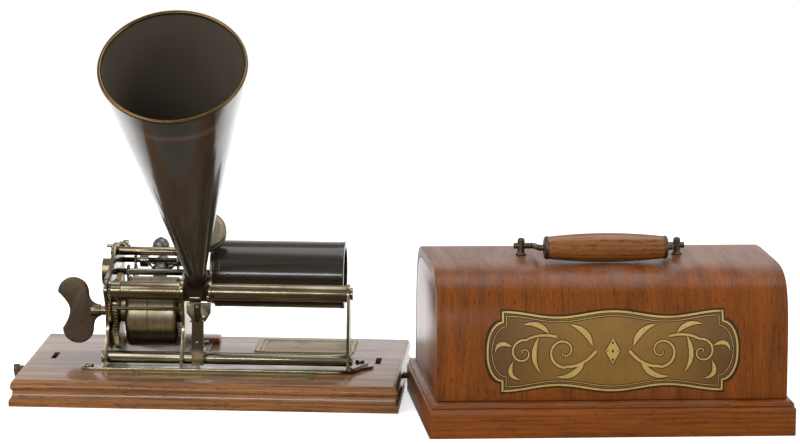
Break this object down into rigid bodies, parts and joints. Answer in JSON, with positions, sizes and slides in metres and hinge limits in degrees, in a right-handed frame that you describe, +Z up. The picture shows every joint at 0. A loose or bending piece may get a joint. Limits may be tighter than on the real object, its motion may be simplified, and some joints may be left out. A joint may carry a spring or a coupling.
{
  "type": "cylinder phonograph",
  "caption": "Spring-driven cylinder phonograph with a slanted conical horn, an open geared motor and a ball governor on an oak base, with its arched oak lid standing beside it.",
  "frame": {"origin": "centre of the flat underside of the base board, on the surface that the machine stands on", "axes": "+X along the mandrel away from the winding key and towards the lid, +Y away from the horn, +Z up"},
  "size_m": [0.6399, 0.3847, 0.3291],
  "materials": {
    "base_oak": "varnished oak, darker on the moulded edge",
    "lid_oak": "varnished oak with a glossy coat",
    "grip_oak": "turned and varnished oak",
    "nickel": "worn nickel plate with a yellowish patina",
    "steel": "plain ground steel",
    "dark_metal": "dark oxidised iron",
    "copper_brown": "oxidised copper-brown",
    "wheel_brass": "tarnished brass",
    "rim_brass": "bright rolled brass",
    "black_enamel": "black japanned sheet metal",
    "governor_metal": "dull grey-green metal",
    "record_wax": "dark brown wax with fine grooves",
    "sign_metal": "bare etched plate",
    "mica": "thin mica sheet"
  },
  "bodies": {
    "base": {"base_board": "base_oak", "base_moulding": "base_oak", "front_plate": "sign_metal", "rear_plate": "sign_metal", "rear_cleat": "base_oak", "bedplate": "nickel", "foot_screw_left": "steel", "rear_foot_screw": "steel", "bracket_screw": "steel", "left_frame_plate": "nickel", "right_frame_plate": "nickel", "upper_tie_rod": "nickel", "lower_guide_rod": "nickel", "guide_tube_left": "nickel", "guide_tube": "nickel", "right_bracket": "nickel"},
    "spring_drum": {"spring_barrel": "nickel", "mainspring": "steel", "great_wheel": "wheel_brass"},
    "winding": {"winding_arbor": "steel", "ratchet_wheel": "steel", "winding_key": "dark_metal"},
    "click_pawl": {"click": "steel"},
    "intermediate": {"intermediate_arbor": "steel", "intermediate_wheel": "wheel_brass"},
    "turning_mandrel": {"mandrel_shaft": "steel", "mandrel": "nickel"},
    "record": {"record_cylinder": "record_wax"},
    "governor_drive": {"governor_arbor": "steel", "governor_wheel": "wheel_brass"},
    "governor": {"governor_spindle": "steel", "governor_disc": "governor_metal", "governor_weight_1": "governor_metal", "governor_weight_2": "governor_metal", "governor_weight_3": "governor_metal"},
    "feed_drive": {"feed_drive_arbor": "steel", "feed_drive_wheel": "wheel_brass"},
    "feed": {"feed_screw": "nickel"},
    "travelling_carriage": {"carriage": "nickel", "carriage_strap": "copper_brown", "carriage_pin": "steel"},
    "sound_arm": {"reproducer_socket": "copper_brown", "reproducer_neck": "nickel", "reproducer": "nickel", "diaphragm": "mica"},
    "sound_horn": {"horn": "black_enamel", "horn_rim": "rim_brass"},
    "stylus": {"stylus_lever": "steel"},
    "speed_control": {"speed_screw": "nickel"},
    "stop_control": {"stop_lever": "steel"},
    "left_latch": {"latch_left": "dark_metal"},
    "right_latch": {"latch_right": "dark_metal"},
    "lid": {"lid_cover": "lid_oak", "lid_end_left": "lid_oak", "lid_end_right": "lid_oak", "lid_plinth": "lid_oak", "handle_eye_left": "dark_metal", "handle_eye_right": "dark_metal"},
    "bail": {"handle_bail": "dark_metal"},
    "grip": {"handle_grip": "grip_oak"}
  },
  "joints": [
    {"name": "drum_spin", "type": "hinge", "parent": "base", "child": "spring_drum", "pos_m": [-0.05, -0.01, 0.0625], "axis": [1, 0, 0], "continuous": true},
    {"name": "winding_turn", "type": "hinge", "parent": "base", "child": "winding", "pos_m": [-0.0922, -0.01, 0.0625], "axis": [1, 0, 0], "continuous": true},
    {"name": "click_swing", "type": "hinge", "parent": "base", "child": "click_pawl", "pos_m": [-0.0822, 0.013, 0.046], "axis": [1, 0, 0], "range_deg": [-15, 0]},
    {"name": "intermediate_spin", "type": "hinge", "parent": "base", "child": "intermediate", "pos_m": [-0.05, 0.02549, 0.06529], "axis": [1, 0, 0], "continuous": true},
    {"name": "mandrel_spin", "type": "hinge", "parent": "base", "child": "turning_mandrel", "pos_m": [0, 0.02, 0.0903], "axis": [1, 0, 0], "continuous": true},
    {"name": "record_slide", "type": "slide", "parent": "turning_mandrel", "child": "record", "axis": [1, 0, 0], "range_m": [0, 0.112]},
    {"name": "governor_drive_spin", "type": "hinge", "parent": "base", "child": "governor_drive", "pos_m": [-0.08, 0.04874, 0.07394], "axis": [1, 0, 0], "continuous": true},
    {"name": "governor_spin", "type": "hinge", "parent": "base", "child": "governor", "pos_m": [-0.05, 0.05, 0.0955], "axis": [1, 0, 0], "continuous": true},
    {"name": "feed_drive_spin", "type": "hinge", "parent": "base", "child": "feed_drive", "pos_m": [-0.05, -0.04389, 0.07041], "axis": [1, 0, 0], "continuous": true},
    {"name": "feed_spin", "type": "hinge", "parent": "base", "child": "feed", "pos_m": [0, -0.05, 0.0865], "axis": [1, 0, 0], "continuous": true},
    {"name": "carriage_slide", "type": "slide", "parent": "base", "child": "travelling_carriage", "axis": [1, 0, 0], "range_m": [0, 0.108]},
    {"name": "reproducer_lift", "type": "hinge", "parent": "travelling_carriage", "child": "sound_arm", "pos_m": [-0.01, -0.061, 0.0831], "axis": [1, 0, 0], "range_deg": [0, 30]},
    {"name": "horn_turn", "type": "hinge", "parent": "sound_arm", "child": "sound_horn", "pos_m": [-0.0103, -0.055, 0.093], "axis": [0, -0.6691, 0.7431], "range_deg": [-180, 180]},
    {"name": "stylus_swing", "type": "hinge", "parent": "sound_arm", "child": "stylus", "pos_m": [-0.01, -0.00476, 0.10951], "axis": [1, 0, 0], "range_deg": [0, 4]},
    {"name": "speed_turn", "type": "hinge", "parent": "base", "child": "speed_control", "pos_m": [-0.08, 0.05, 0.107], "axis": [1, 0, 0], "range_deg": [-360, 360]},
    {"name": "stop_swing", "type": "hinge", "parent": "base", "child": "stop_control", "pos_m": [-0.028, 0.056, 0.07], "axis": [1, 0, 0], "range_deg": [-20, 0]},
    {"name": "left_latch_turn", "type": "hinge", "parent": "base", "child": "left_latch", "pos_m": [-0.15, 0.003, 0.01], "axis": [1, 0, 0], "range_deg": [0, 90]},
    {"name": "right_latch_turn", "type": "hinge", "parent": "base", "child": "right_latch", "pos_m": [0.15, 0.003, 0.01], "axis": [1, 0, 0], "range_deg": [-90, 0]},
    {"name": "lid_lift", "type": "slide", "parent": "base", "child": "lid", "axis": [0, 0, 1], "range_m": [0, 0.15]},
    {"name": "handle_swing", "type": "hinge", "parent": "lid", "child": "bail", "pos_m": [0.31496, -0.08948, 0.136], "axis": [-0.9903, -0.1392, 0], "range_deg": [0, 167]},
    {"name": "grip_turn", "type": "hinge", "parent": "bail", "child": "grip", "pos_m": [0.32025, -0.12711, 0.1402], "axis": [0.9903, 0.1392, 0], "continuous": true}
  ],
  "couplings": [
    {"joint": "intermediate_spin", "follows": "drum_spin", "ratio": -6.4167},
    {"joint": "mandrel_spin", "follows": "drum_spin", "ratio": 22.917},
    {"joint": "governor_drive_spin", "follows": "drum_spin", "ratio": 26.736},
    {"joint": "governor_spin", "follows": "drum_spin", "ratio": -93.576},
    {"joint": "feed_drive_spin", "follows": "drum_spin", "ratio": -7.7},
    {"joint": "feed_spin", "follows": "drum_spin", "ratio": 12.994}
  ]
}
